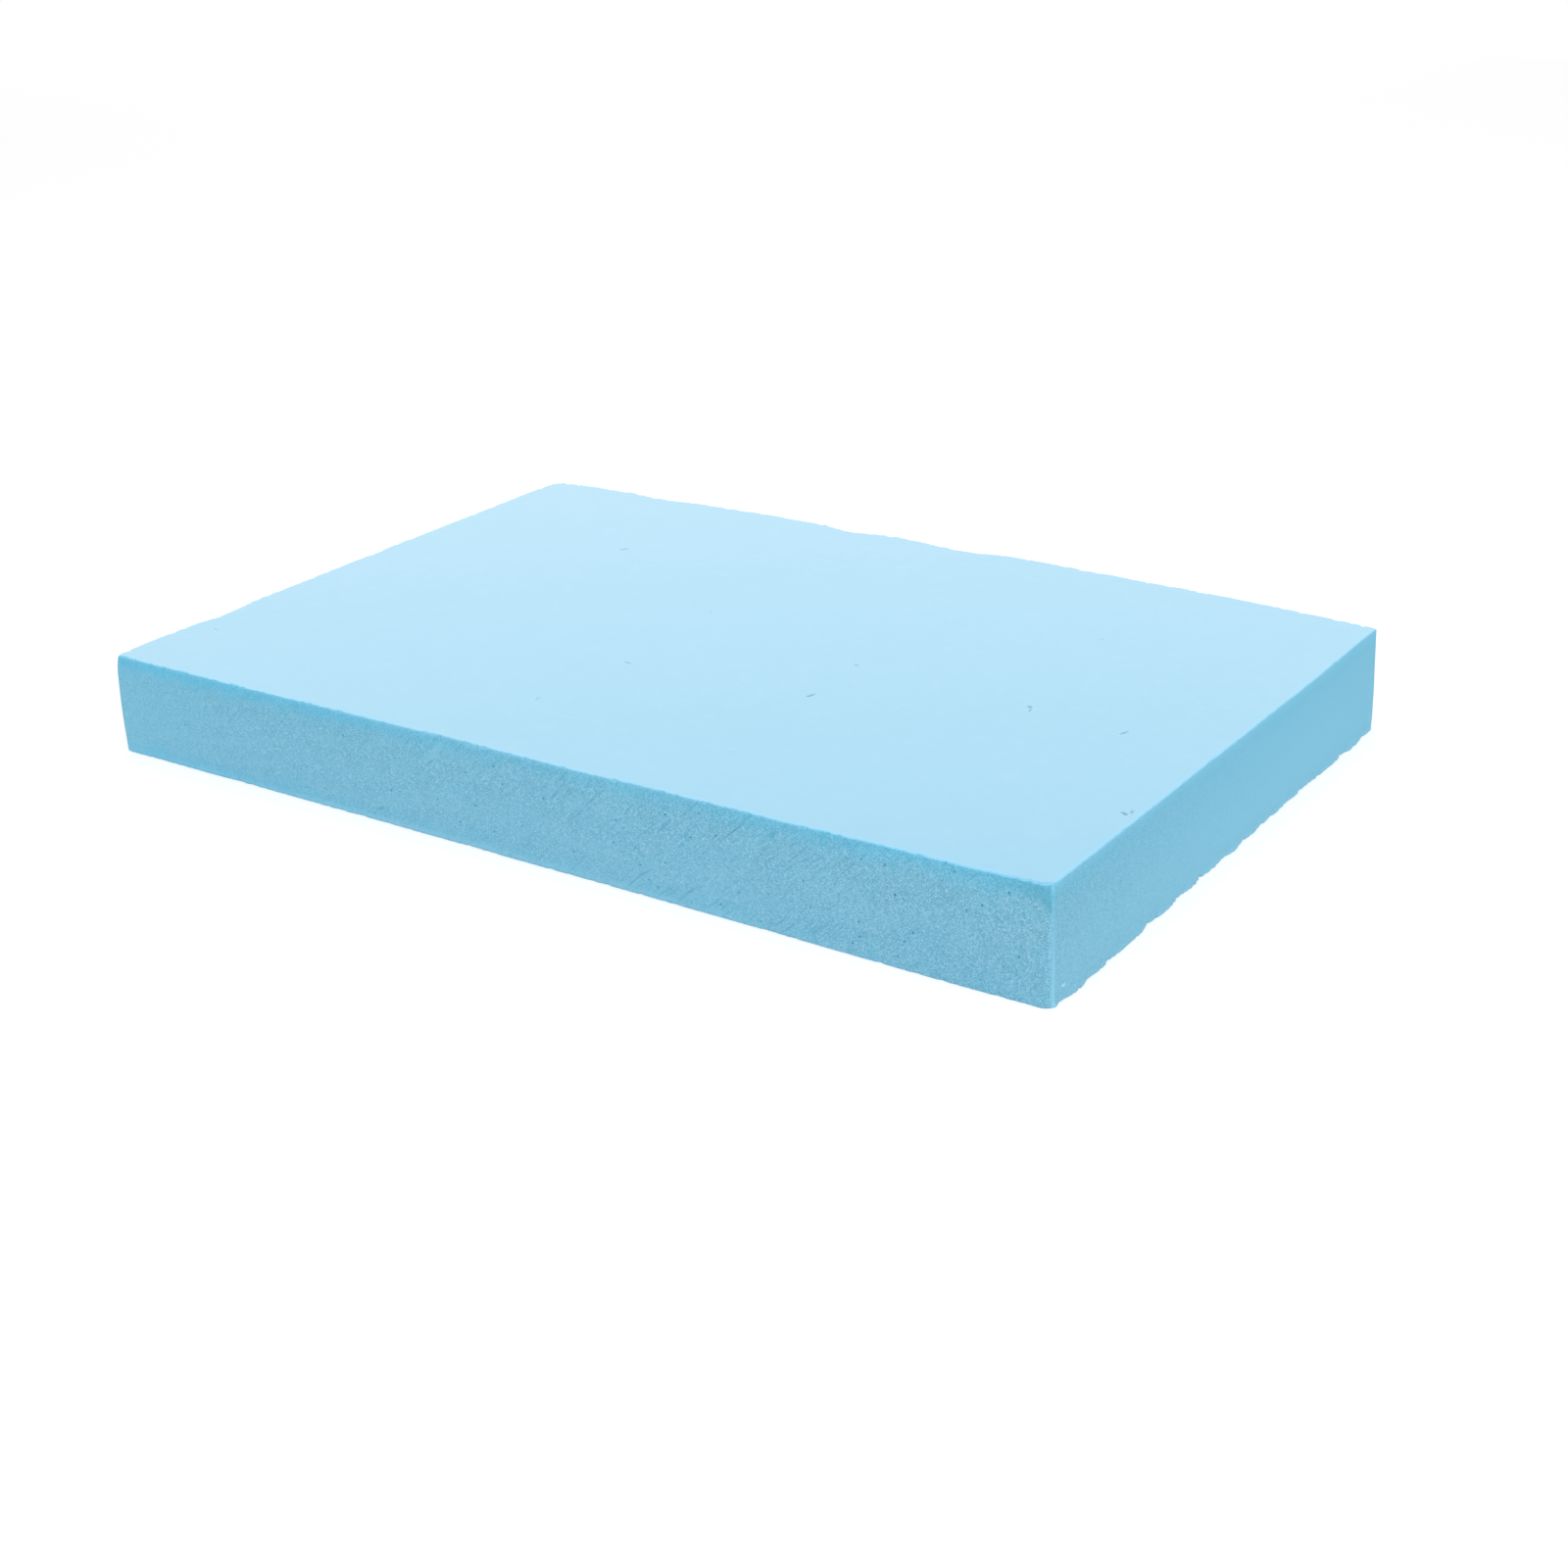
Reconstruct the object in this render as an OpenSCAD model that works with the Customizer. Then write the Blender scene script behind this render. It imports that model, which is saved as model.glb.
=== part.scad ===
// Rigid foam block, hand cut from extruded insulation board.
// Frame: origin at the centre of the bottom face, +X along the long side, +Z up.
// The front is the long side at -Y, the right is the short side at +X.

/* [Block] */
// Nominal length, along X
block_l = 300; // [120:5:360]
// Nominal width, along Y
block_w = 200; // [80:5:260]
// Thickness, along Z
block_t = 30; // [16:1:50]

/* [Edges] */
// Softening radius of the top edges
top_edge_r = 0.8; // [0.4:0.1:1.4]
// Softening radius of the bottom edges
bottom_edge_r = 0.5; // [0.3:0.1:1.4]
// Rounding of the upright corners, as a share of their cut radius
corner_scale = 1; // [0.5:0.25:3]

/* [Hand cut] */
// How far the sides stray from straight, 0 for straight sides and 1 as cut
stray_scale = 1; // [0:0.1:1.5]
// How deep the chips in the edges bite, 0 for none and 1 as cut
chip_scale = 1; // [0:0.1:1.5]
// Height that a chip reaches from its edge
chip_h = 4; // [3:0.5:7]
// Depth of the nicks in the top face
nick_depth = 0.35; // [0.1:0.05:0.6]
// Width of the nicks in the top face
nick_width = 0.8; // [0.4:0.1:1.4]

/* [Hidden] */

FOAM_BLUE = [0.60, 0.81, 0.90];

// The sides in order round the block, seen from above: front, right, back, left.
SIDES = [0:3];
OUTWARD = [[0, -1], [1, 0], [0, 1], [-1, 0]];
FORWARD = [[1, 0], [0, 1], [-1, 0], [0, -1]];
side_len = [block_l, block_w, block_l, block_w];
side_gap = [block_w, block_l, block_w, block_l];
// Spacing of the points along each side; the chipped right side is finest.
POINT_PITCH = [5, 2.25, 4, 4.5];

// How far each side strays outward from its nominal line, as [place, stray].
// A place is a share of the half side, from -1 at its start to 1 at its end.
TOP_STRAY = [
    [[-1, 0.5], [-0.92, 0.9], [-0.8, 0.9], [-0.65, 0.8], [-0.5, 0.3], [-0.4, 0.4], [-0.25, -0.1],
     [0, -0.2], [0.17, 0], [0.22, -0.6], [0.5, -0.7], [0.63, -1], [0.72, -1.3], [0.86, -1.2], [1, -2.2]],
    [[-1, -2], [0.5, -1.9], [0.7, -2.1], [0.86, -2.5], [1, -2.4]],
    [[-1, -4.9], [-0.9, -3.2], [-0.8, -2], [-0.6, 0], [-0.5, -0.1], [-0.41, 0.9], [-0.38, 0.6],
     [-0.3, 1.5], [-0.17, 1.4], [-0.12, -0.4], [-0.08, -1.2], [-0.02, 0], [0.07, 1.4], [0.13, 0.9],
     [0.18, -1.2], [0.23, -1.2], [0.27, 1.1], [0.34, 0.7], [0.41, 1.2], [0.5, 0.6], [0.62, 0],
     [0.67, -1.7], [0.74, -1.6], [0.8, -0.5], [0.9, -1.3], [1, -2.8]],
    [[-1, -3.4], [-0.9, -2.2], [-0.3, -2.4], [-0.2, -2], [-0.1, -2.6], [0.05, -2.4], [0.3, -2.8],
     [0.44, -2.3], [0.53, -3.8], [0.62, -4.2], [0.68, -3], [0.8, -2.4], [1, -2.9]]
];
BOTTOM_STRAY = [
    [[-1, -0.3], [-0.75, -0.6], [-0.5, -0.8], [0.3, -0.9], [0.6, -0.7], [0.85, -0.5], [1, -0.9]],
    [[-1, -1], [-0.88, -0.2], [-0.75, -0.6], [-0.4, -0.9], [-0.2, -1.3], [0, -0.9], [0.2, -1.5],
     [0.5, -1.6], [0.68, -1.4], [0.84, -0.9], [0.94, -1.5], [1, -1.7]],
    [[-1, -4.2], [-0.6, -1], [0, -0.2], [0.6, -0.6], [1, -2]],
    [[-1, -0.8], [-0.4, -0.4], [0.5, -0.3], [1, -0.3]]
];
// How late up each side its cut turns from the bottom line to the top line.
LEAN_POWER = [1, 1, 1.5, 6];

// Chips in the bottom and top edges, as [place, run in, run out, depth];
// the runs are lengths along the edge.
BOTTOM_CHIPS = [
    [],
    [[-0.95, 3, 5, 0.9], [-0.82, 3, 5, 0.8], [-0.71, 3, 4, 0.3], [-0.5, 3, 8, 1], [-0.3, 7, 3, 0.8],
     [-0.18, 3, 5, 0.6], [-0.04, 8, 4, 0.9], [0.08, 6, 4, 0.7], [0.18, 3, 4, 0.4], [0.25, 3, 3, 0.4],
     [0.37, 4, 4, 0.5], [0.5, 5, 5, 0.4], [0.77, 6, 3, 1], [0.91, 5, 3, 0.6]],
    [],
    []
];
TOP_CHIPS = [
    [[-0.18, 4, 4, 0.8]],
    [],
    [],
    []
];

// Radius of the upright corner after each side: crisp along most of its height, and
// blunted towards its top and bottom ends.
CORNER_R = [0.8, 1.2, 1.2, 1.6];
TOP_CORNER_R = [3, 1, 3, 1.5];
BOTTOM_CORNER_R = [2.5, 2.5, 2, 1.5];
BLUNT_POWER = 8;
// What is left of a corner's radius where the top or bottom edge is rounded off.
SHARPEST_R = 0.2;
CORNER_STEPS = 4;
EDGE_STEPS = 3;
// Levels between the chips of the bottom edge and those of the top edge.
WALL_STEPS = 4;

// Nicks in the top face, as [place along X, place along Y, length, turn];
// the places are shares of the half length and the half width.
NICKS = [
    [0.26, -0.28, 3.6, 70], [0.618, -0.062, 2, 158], [0.625, -0.082, 1.8, 87],
    [0.81, -0.1, 3.6, 71], [0.959, -0.545, 2.4, 165], [0.966, -0.529, 2.2, 108],
    [0.25, -0.03, 2, 144], [-0.12, -0.33, 3.6, 166], [-0.15, -0.67, 2.6, 90], [-0.54, 0.48, 3.4, 51]
];
NICK_STEPS = 24;

function mix(a, b, f) = a + (b - a) * f;

// The level rings of the block, from the bottom face to the top face.
edge_turns = [for (k = [0:EDGE_STEPS]) 90 * k / EDGE_STEPS];
levels = concat(
    [for (turn = edge_turns) bottom_edge_r * (1 - cos(turn))],
    [chip_h / 2],
    [for (k = [0:WALL_STEPS]) mix(chip_h, block_t - chip_h, k / WALL_STEPS)],
    [block_t - chip_h / 2],
    [for (turn = edge_turns) block_t - top_edge_r * (1 - sin(turn))]
);

// How far a rounded edge has drawn the side in at a level.
function round_in(radius, depth) =
    depth >= radius ? 0 : radius - sqrt(radius * radius - pow(radius - depth, 2));
function edge_in(z) = round_in(bottom_edge_r, z) + round_in(top_edge_r, block_t - z);

// Depth of the chips at a point along an edge: each is a notch with two straight flanks.
function notch(offset, run_in, run_out) = max(0, 1 - abs(offset) / (offset < 0 ? run_in : run_out));
function chip_in(chips, along, half) =
    max([0, for (c = chips) c[3] * notch(along - c[0] * half, c[1], c[2])]);

// Outward stray of a side at a place along it and a height up it.
function stray(side, place, z) =
    let (half = side_len[side] / 2)
    let (up = pow(z / block_t, LEAN_POWER[side]))
    let (low = chip_in(BOTTOM_CHIPS[side], place * half, half) * max(0, 1 - z / chip_h))
    let (high = chip_in(TOP_CHIPS[side], place * half, half) * max(0, 1 - (block_t - z) / chip_h))
    stray_scale * mix(lookup(place, BOTTOM_STRAY[side]), lookup(place, TOP_STRAY[side]), up)
        - chip_scale * (low + high);

function corner_r(side, z) =
    let (blunt_top = (TOP_CORNER_R[side] - CORNER_R[side]) * pow(z / block_t, BLUNT_POWER))
    let (blunt_low = (BOTTOM_CORNER_R[side] - CORNER_R[side]) * pow(1 - z / block_t, BLUNT_POWER))
    max(edge_in(z) + SHARPEST_R, corner_scale * (CORNER_R[side] + blunt_top + blunt_low));

// Points along one side: they stray outward, and stretch to meet the sides next to it.
function side_points(side, z) =
    let (before = (side + 3) % 4, after = (side + 1) % 4)
    let (half = side_len[side] / 2)
    let (steps = ceil(side_len[side] / POINT_PITCH[side]))
    [for (k = [0:steps])
        let (along = mix(corner_r(before, z) - half, half - corner_r(side, z), k / steps))
        let (place = along / half)
        let (stretch = mix(-stray(before, 1, z), stray(after, -1, z), (place + 1) / 2))
        FORWARD[side] * (along + stretch)
            + OUTWARD[side] * (side_gap[side] / 2 + stray(side, place, z) - edge_in(z))];

// Points round the corner after a side, without its two end points.
function corner_points(side, z) =
    let (after = (side + 1) % 4, radius = corner_r(side, z))
    let (out = side_gap[side] / 2 + stray(side, 1, z) - radius)
    let (on = side_len[side] / 2 + stray(after, -1, z) - radius)
    [for (k = [1:CORNER_STEPS - 1])
        let (turn = 90 * k / CORNER_STEPS)
        OUTWARD[side] * (out + (radius - edge_in(z)) * cos(turn))
            + FORWARD[side] * (on + (radius - edge_in(z)) * sin(turn))];

function ring(z) =
    [for (side = SIDES, p = concat(side_points(side, z), corner_points(side, z))) [p[0], p[1], z]];

// The block as a skin over its rings, with each end face fanned from its middle.
module hand_cut_board() {
    rings = [for (z = levels) ring(z)];
    count = len(rings[0]);
    last = len(rings) - 1;
    low_middle = len(rings) * count;
    points = concat([for (r = rings, p = r) p], [[0, 0, 0], [0, 0, block_t]]);
    skin = [for (r = [0:last - 1], k = [0:count - 1])
        let (next = (k + 1) % count, a = r * count, b = (r + 1) * count)
        each [[a + k, b + k, b + next], [a + k, b + next, a + next]]];
    high_middle = low_middle + 1;
    top_ring = last * count;
    low_face = [for (k = [0:count - 1]) [low_middle, k, (k + 1) % count]];
    high_face = [for (k = [0:count - 1]) [high_middle, top_ring + (k + 1) % count, top_ring + k]];
    polyhedron(points, concat(skin, low_face, high_face));
}

// A ring on edge, whose rim presses a nick of a given length into the top face.
module nick_tool(length) {
    rim_r = (pow(length / 2, 2) + pow(nick_depth, 2)) / (2 * nick_depth);
    bead_r = min(nick_width, rim_r) / 2;
    translate([0, 0, block_t + rim_r - nick_depth]) rotate([90, 0, 0])
        rotate_extrude($fn = 2 * NICK_STEPS) translate([rim_r - bead_r, 0])
            circle(r = bead_r, $fn = NICK_STEPS);
}

module foam_block() {
    color(FOAM_BLUE) difference() {
        hand_cut_board();
        for (nick = NICKS)
            translate([nick[0] * block_l / 2, nick[1] * block_w / 2, 0])
                rotate(nick[3]) nick_tool(nick[2]);
    }
}

foam_block();
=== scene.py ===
"""Looks of a rigid foam block: light blue extruded polystyrene board, cut to size by hand.

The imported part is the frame: the block's outline at every height, its thickness and its box
are read from it. One fine skin is worked out over them, with sawn sides, softened edges and
two smooth extruded faces, of which the upper one carries the nicks of handling. Shapes are
worked out in millimetres and put into meshes in metres. +Z is up, and the block stands on
the floor at Z = 0.
"""

import logging
from dataclasses import dataclass
from enum import Enum
from math import cos, radians, sin, sqrt
from typing import Any

import bpy
import numpy as np
from mathutils import Matrix, Vector
from mathutils.geometry import delaunay_2d_cdt


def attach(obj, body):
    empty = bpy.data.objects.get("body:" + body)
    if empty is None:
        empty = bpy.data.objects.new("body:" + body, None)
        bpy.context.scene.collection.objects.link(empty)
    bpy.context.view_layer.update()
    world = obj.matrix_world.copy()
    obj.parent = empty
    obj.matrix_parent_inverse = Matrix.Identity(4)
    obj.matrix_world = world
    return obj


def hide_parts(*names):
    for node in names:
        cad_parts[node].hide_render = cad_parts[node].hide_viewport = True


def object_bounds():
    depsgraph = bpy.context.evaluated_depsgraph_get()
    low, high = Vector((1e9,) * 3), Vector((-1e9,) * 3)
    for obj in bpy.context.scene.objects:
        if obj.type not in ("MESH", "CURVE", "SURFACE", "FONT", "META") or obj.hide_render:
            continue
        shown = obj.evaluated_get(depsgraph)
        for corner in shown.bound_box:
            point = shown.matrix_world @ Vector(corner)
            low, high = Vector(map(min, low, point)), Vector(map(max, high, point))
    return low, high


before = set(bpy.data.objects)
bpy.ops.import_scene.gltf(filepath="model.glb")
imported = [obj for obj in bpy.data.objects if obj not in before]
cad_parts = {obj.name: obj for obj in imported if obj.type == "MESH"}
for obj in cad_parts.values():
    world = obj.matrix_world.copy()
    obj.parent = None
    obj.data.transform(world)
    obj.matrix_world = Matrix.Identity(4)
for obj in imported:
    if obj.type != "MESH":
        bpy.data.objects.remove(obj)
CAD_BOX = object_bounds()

NODE = "foam_block"
BODY = "root"

MM = 0.001
LOW, HIGH = (np.array(corner) / MM for corner in CAD_BOX)
CENTRE = (LOW + HIGH) / 2
HALF = (HIGH - LOW) / 2
THICK = HIGH[2] - LOW[2]

log = logging.getLogger(NODE)

# One value all along a side, or values at places from -1 at its start to 1 at its end.
Trait = float | tuple[tuple[float, float], ...]
# Red, green, blue and alpha, in linear light.
Colour = tuple[float, float, float, float]
Tree = bpy.types.NodeTree
Socket = bpy.types.NodeSocket


# --- Small tools -----------------------------------------------------------------------


def linear(colour: str) -> Colour:
    """Turns an sRGB hex colour to linear light.

    Args:
        colour: six hex digits after a hash.

    Returns:
        Red, green, blue and an alpha of 1.
    """
    channels = np.array([int(colour[k : k + 2], 16) for k in (1, 3, 5)]) / 255
    low, high = channels / 12.92, ((channels + 0.055) / 1.055) ** 2.4
    red, green, blue = np.where(channels <= 0.04045, low, high)
    return float(red), float(green), float(blue), 1.0


def fade(share: np.ndarray) -> np.ndarray:
    """Eases a share from 0 to 1: three times its square less twice its cube."""
    held = np.clip(share, 0, 1)
    return held * held * (3 - 2 * held)


def bell(offset: np.ndarray, width: float) -> np.ndarray:
    """A bell of height 1: e to the power of minus the square of offset over width."""
    return np.exp(-((offset / width) ** 2))


def ripple(
    along: np.ndarray, up: np.ndarray, laps: int, seed: int, crisp: bool = False
) -> np.ndarray:
    """Noise on a lattice of unit cells, which closes on itself along the first axis.

    Each lattice point has a random value. Between the four that surround a place, the value
    is their mean, weighted by the shares of the cell. The shares are eased, so that the
    noise is smooth, or plain, so that it is faceted.

    Args:
        along: places along the lattice, in cells.
        up: places across it, in cells, 0 or more.
        laps: cells in one lap, after which the noise repeats.
        seed: which lattice is drawn.
        crisp: whether the shares stay plain.

    Returns:
        Values from -1 to 1, in the shape of along and up together.
    """
    lattice = np.random.default_rng(seed).uniform(-1, 1, (laps, int(np.max(up)) + 2))
    column, row = np.floor(along).astype(int), np.floor(up).astype(int)
    share, rise = along - column, up - row
    if not crisp:
        share, rise = fade(share), fade(rise)
    here, there = column % laps, (column + 1) % laps
    low = lattice[here, row] * (1 - share) + lattice[there, row] * share
    high = lattice[here, row + 1] * (1 - share) + lattice[there, row + 1] * share
    return low * (1 - rise) + high * rise


def per(size: float) -> float:
    """The scale at which a texture's features are of a size in millimetres."""
    return 1 / (size * MM)


def emptied(holder: bpy.types.Material | bpy.types.World) -> Tree:
    """Switches a material or a world to nodes, and clears its tree.

    Args:
        holder: the material or the world.

    Returns:
        Its empty tree.
    """
    holder.use_nodes = True
    holder.node_tree.nodes.clear()
    return holder.node_tree


def add_node(
    tree: Tree, kind: str, inputs: dict[str | int, Any] | None = None, **settings: Any
) -> bpy.types.Node:
    """Adds a shader node.

    Args:
        tree: the tree that it joins.
        kind: the node's type name, without the leading ShaderNode.
        inputs: its inputs, by name or number. A socket is linked, and a value is set.
        **settings: the node's own properties.

    Returns:
        The new node.
    """
    node = tree.nodes.new("ShaderNode" + kind)
    for name, value in settings.items():
        setattr(node, name, value)
    for name, value in (inputs or {}).items():
        if isinstance(value, Socket):
            tree.links.new(value, node.inputs[name])
        else:
            node.inputs[name].default_value = value
    return node


def layered(tree: Tree, shade: Colour | Socket, layers: list[tuple[Socket, str]]) -> Socket:
    """Lays colours over one another.

    Args:
        tree: the material's nodes.
        shade: the colour at the bottom.
        layers: from the bottom up, how much of a colour is laid on, and that colour.

    Returns:
        The colour at the top.
    """
    for amount, colour in layers:
        inputs = {0: amount, 6: shade, 7: linear(colour)}
        shade = add_node(tree, "Mix", inputs, data_type="RGBA").outputs[2]
    return shade


# --- How the block was cut and handled ---------------------------------------------------


class Side(Enum):
    """The four sawn sides, in order round the block seen from above."""

    FRONT = (0, -1)
    RIGHT = (1, 0)
    BACK = (0, 1)
    LEFT = (-1, 0)

    @property
    def outward(self) -> np.ndarray:
        """The way that the side faces, in plan."""
        return np.array(self.value, float)

    @property
    def forward(self) -> np.ndarray:
        """The way that the side is followed, a quarter turn on from outward."""
        return np.array([-self.value[1], self.value[0]], float)

    @property
    def length(self) -> float:
        """The side's length in the frame's box, in millimetres."""
        return float(2 * np.abs(self.forward) @ HALF[:2])


# The way round all four sides, in millimetres.
LAP = sum(side.length for side in Side)


@dataclass(frozen=True)
class SawCut:
    """How the saw left one side, and the upright corner where that side starts.

    Attributes:
        side: the side.
        open_cells: how open and torn the cells are, from 0 to 1.
        toothed: how far the slanted marks of the saw's teeth show, from 0 to 1.
        rind: how far the dense board under the top face shows its deeper colour, 0 to 1.
        foot_rind: the same over the bottom face.
        side_arris_highlight: how pale a thin painted highlight along the top and foot edges is, 0 to
            1.
        edge_light: how far painted light pales both long edges, from 0 to 1.
        foot_bounce_light: how much paler the side is towards its foot, 0 to 1: painted floor light.
        top_round: radius of the top edge, in millimetres.
        foot_round: radius of the bottom edge, in millimetres.
        ragged_top: how far the top edge is torn in, in millimetres.
        ragged_foot: how far the bottom edge is torn in, in millimetres.
        corner_highlight: how pale a painted highlight line the corner shows, from 0 to 1.
        corner_crush: how far the corner's top is pressed in and closed, from 0 to 1.
    """

    side: Side
    open_cells: Trait
    toothed: Trait
    rind: Trait
    foot_rind: Trait
    side_arris_highlight: Trait
    edge_light: Trait
    foot_bounce_light: Trait
    top_round: Trait
    foot_round: Trait
    ragged_top: Trait
    ragged_foot: Trait
    corner_highlight: float
    corner_crush: float

    def trait(self, name: str, place: np.ndarray) -> np.ndarray:
        """Reads a trait at places along the side.

        Args:
            name: the trait's name.
            place: the places, from -1 to 1.

        Returns:
            Its value at each place.
        """
        value = getattr(self, name)
        if isinstance(value, tuple):
            return np.interp(place, *zip(*value))
        return np.full(place.shape, float(value))


CUTS = (
    SawCut(
        side=Side.FRONT,
        open_cells=((-1, 0.54), (-0.7, 0.74), (-0.4, 0.84), (0.4, 0.88), (0.7, 0.96), (1, 1)),
        toothed=((-1, 0.1), (-0.7, 0.4), (-0.1, 0.5), (0.2, 1), (0.5, 1), (0.7, 0.4), (1, 0)),
        rind=((-1, 1), (-0.4, 0.85), (-0.1, 0.45), (0.4, 0.5), (0.7, 0.7), (1, 0.75)),
        foot_rind=((-1, 1), (-0.6, 0.85), (-0.3, 0.4), (0.4, 0.28), (0.6, 0.12), (1, 0.05)),
        side_arris_highlight=((-1, 0.2), (-0.3, 0.4), (0.2, 0.35), (0.6, 0.1), (0.9, 0), (1, 0)),
        edge_light=0,
        foot_bounce_light=((-1, 0.1), (0.5, 0.1), (0.8, 0), (1, 0)),
        top_round=((-1, 0.8), (-0.9, 0.4), (-0.6, 0.3), (0.4, 0.3), (0.9, 0.6), (1, 1.3)),
        foot_round=0.5,
        ragged_top=0.6,
        ragged_foot=0.4,
        corner_highlight=0.25,
        corner_crush=0.3,
    ),
    SawCut(
        side=Side.RIGHT,
        open_cells=((-1, 0.7), (-0.6, 0.5), (-0.2, 0.28), (0.2, 0.12), (0.6, 0.04), (1, 0.03)),
        toothed=0,
        rind=((-1, 0.5), (-0.5, 0.4), (1, 0.35)),
        foot_rind=0,
        side_arris_highlight=((-1, 0), (-0.8, 0.1), (1, 0.1)),
        edge_light=0.2,
        foot_bounce_light=((-1, 0.2), (-0.4, 0.27), (0.5, 0.27), (1, 0.15)),
        top_round=((-1, 1.0), (-0.98, 0.4), (1, 0.35)),
        foot_round=0.4,
        ragged_top=0.25,
        ragged_foot=0.7,
        corner_highlight=1,
        corner_crush=1,
    ),
    SawCut(
        side=Side.BACK,
        open_cells=((-1, 0.4), (-0.6, 0.7), (0.6, 0.7), (1, 0.5)),
        toothed=((-1, 0.2), (-0.6, 0.8), (0.6, 0.8), (1, 0.5)),
        rind=((-1, 0.7), (1, 0.9)),
        foot_rind=0.8,
        side_arris_highlight=0.2,
        edge_light=0,
        foot_bounce_light=0.1,
        top_round=((-1, 0.45), (-0.9, 0.5), (0.9, 0.5), (1, 0.8)),
        foot_round=0.5,
        ragged_top=0.8,
        ragged_foot=0.2,
        corner_highlight=0.4,
        corner_crush=0,
    ),
    SawCut(
        side=Side.LEFT,
        open_cells=((-1, 0.5), (-0.6, 0.6), (0.6, 0.6), (1, 0.45)),
        toothed=0,
        rind=((-1, 0.6), (1, 0.7)),
        foot_rind=0.5,
        side_arris_highlight=0.2,
        edge_light=0.1,
        foot_bounce_light=0.2,
        top_round=((-1, 0.8), (-0.9, 0.5), (0.9, 0.5), (1, 0.9)),
        foot_round=0.5,
        ragged_top=0.6,
        ragged_foot=0.2,
        corner_highlight=0.4,
        corner_crush=0.3,
    ),
)


@dataclass(frozen=True)
class Nick:
    """A sliver pressed into the top face.

    Attributes:
        place: where it is, as shares of the half length and the half width.
        length: its length, in millimetres.
        width: its width, in millimetres.
        depth: how deep it is, in millimetres.
        turn: how far it is turned from +X, in degrees.
        nick_shade: how dark its bottom looks, from 0 to 1: painted shade in the nick.
        burr_and_highlight: how pale the lip on its near side looks, from 0 to 1: a painted highlight.
    """

    place: tuple[float, float]
    length: float
    width: float
    depth: float
    turn: float
    nick_shade: float
    burr_and_highlight: float

    @property
    def centre(self) -> np.ndarray:
        """Its middle in plan, in millimetres."""
        return CENTRE[:2] + np.array(self.place) * HALF[:2]

    def axes(self) -> np.ndarray:
        """The nick's own directions, along and across it, as two columns."""
        turn = radians(self.turn)
        return np.array([[cos(turn), -sin(turn)], [sin(turn), cos(turn)]])

    def local(self, plan: np.ndarray) -> tuple[np.ndarray, np.ndarray]:
        """Turns places on the face to distances along and across the nick."""
        along, across = ((plan - self.centre) @ self.axes()).T
        return along, across

    def hollow(self, plan: np.ndarray) -> np.ndarray:
        """The nick's shape, from 0 outside to 1 at its deepest.

        It is 1 less the square of the place along it as a share of the half length, times
        a bell across it.
        """
        return self.boat(plan, 0, self.width / 2)

    def lip(self, plan: np.ndarray) -> np.ndarray:
        """The lip beside the nick, where its painted highlight goes, from 0 to 1: narrower, and moved
        across off the nick.
        """
        return self.boat(plan, self.width * 0.8, self.width / 2.5)

    def boat(self, plan: np.ndarray, aside: float, width: float) -> np.ndarray:
        """A boat's shape along the nick, of height 1, so far aside and with a bell so wide."""
        along, across = self.local(plan)
        return np.clip(1 - (2 * along / self.length) ** 2, 0, 1) * bell(across - aside, width)

    def patch(self, pitch: float, margin: float) -> np.ndarray:
        """Works out a small grid that covers the nick and a margin round it.

        Args:
            pitch: spacing of the grid, in millimetres.
            margin: how far past the nick it goes, in millimetres.

        Returns:
            Places in plan.
        """
        reach = np.array([self.length, self.width]) / 2 + margin
        steps = np.ceil(2 * reach / pitch).astype(int)
        rows = [np.linspace(-edge, edge, count) for edge, count in zip(reach, steps)]
        grid = np.stack(np.meshgrid(*rows), axis=-1).reshape(-1, 2)
        return self.centre + grid @ self.axes().T


NICKS = (
    Nick((0.26, -0.28), 3.6, 0.8, 0.35, 70, 1, 0.25),
    Nick((0.619, -0.064), 2, 0.7, 0.35, 158, 0.9, 0.1),
    Nick((0.626, -0.084), 1.8, 0.7, 0.35, 87, 0.7, 0.3),
    Nick((0.811, -0.102), 3.6, 0.8, 0.35, 71, 0.45, 0.2),
    Nick((0.961, -0.542), 2.4, 0.8, 0.35, 165, 1, 0.2),
    Nick((0.968, -0.526), 2.2, 0.8, 0.35, 108, 0.6, 0.2),
    Nick((0.25, -0.032), 2, 0.7, 0.25, 144, 0.25, 0.1),
    Nick((-0.12, -0.329), 3.6, 0.7, 0.25, 166, 0.25, 0.15),
    Nick((-0.15, -0.665), 2.6, 0.7, 0.25, 90, 0.3, 0.35),
    Nick((-0.541, 0.472), 3.4, 0.7, 0.25, 51, 0.35, 0.1),
    Nick((-0.92, -0.71), 3, 0.6, 0.15, 150, 0.5, 0.2),
    Nick((0.57, 0.48), 1.8, 0.6, 0.15, 20, 0.3, 0.1),
    Nick((-0.15, 0.12), 1.5, 0.6, 0.15, 130, 0.3, 0.2),
    Nick((0.29, -0.7), 1.4, 0.6, 0.15, 15, 0.3, 0.2),
    Nick((0.524, -0.571), 2.6, 1.2, 0.04, 60, 0, 0.1),
    Nick((0.156, -0.975), 5, 0.9, 0.04, 4, 0.06, 0.12),
    Nick((-0.193, -0.982), 7, 0.8, 0.04, 3, 0.1, 0.15),
)


@dataclass(frozen=True)
class Blemish:
    """A small mark on a sawn side.

    Attributes:
        place: where it is, as shares of the half box along X, Y and Z from its centre.
        turn: how far its length is turned up from the level, in degrees.
        length: its length, in millimetres.
        width: its width, in millimetres.
        on_side: the side that it is on.
        colour: its colour.
    """

    place: tuple[float, float, float]
    turn: float
    length: float
    width: float
    on_side: Side
    colour: str


# The small, very dark spots are painted shade in pinholes and pits.
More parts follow.
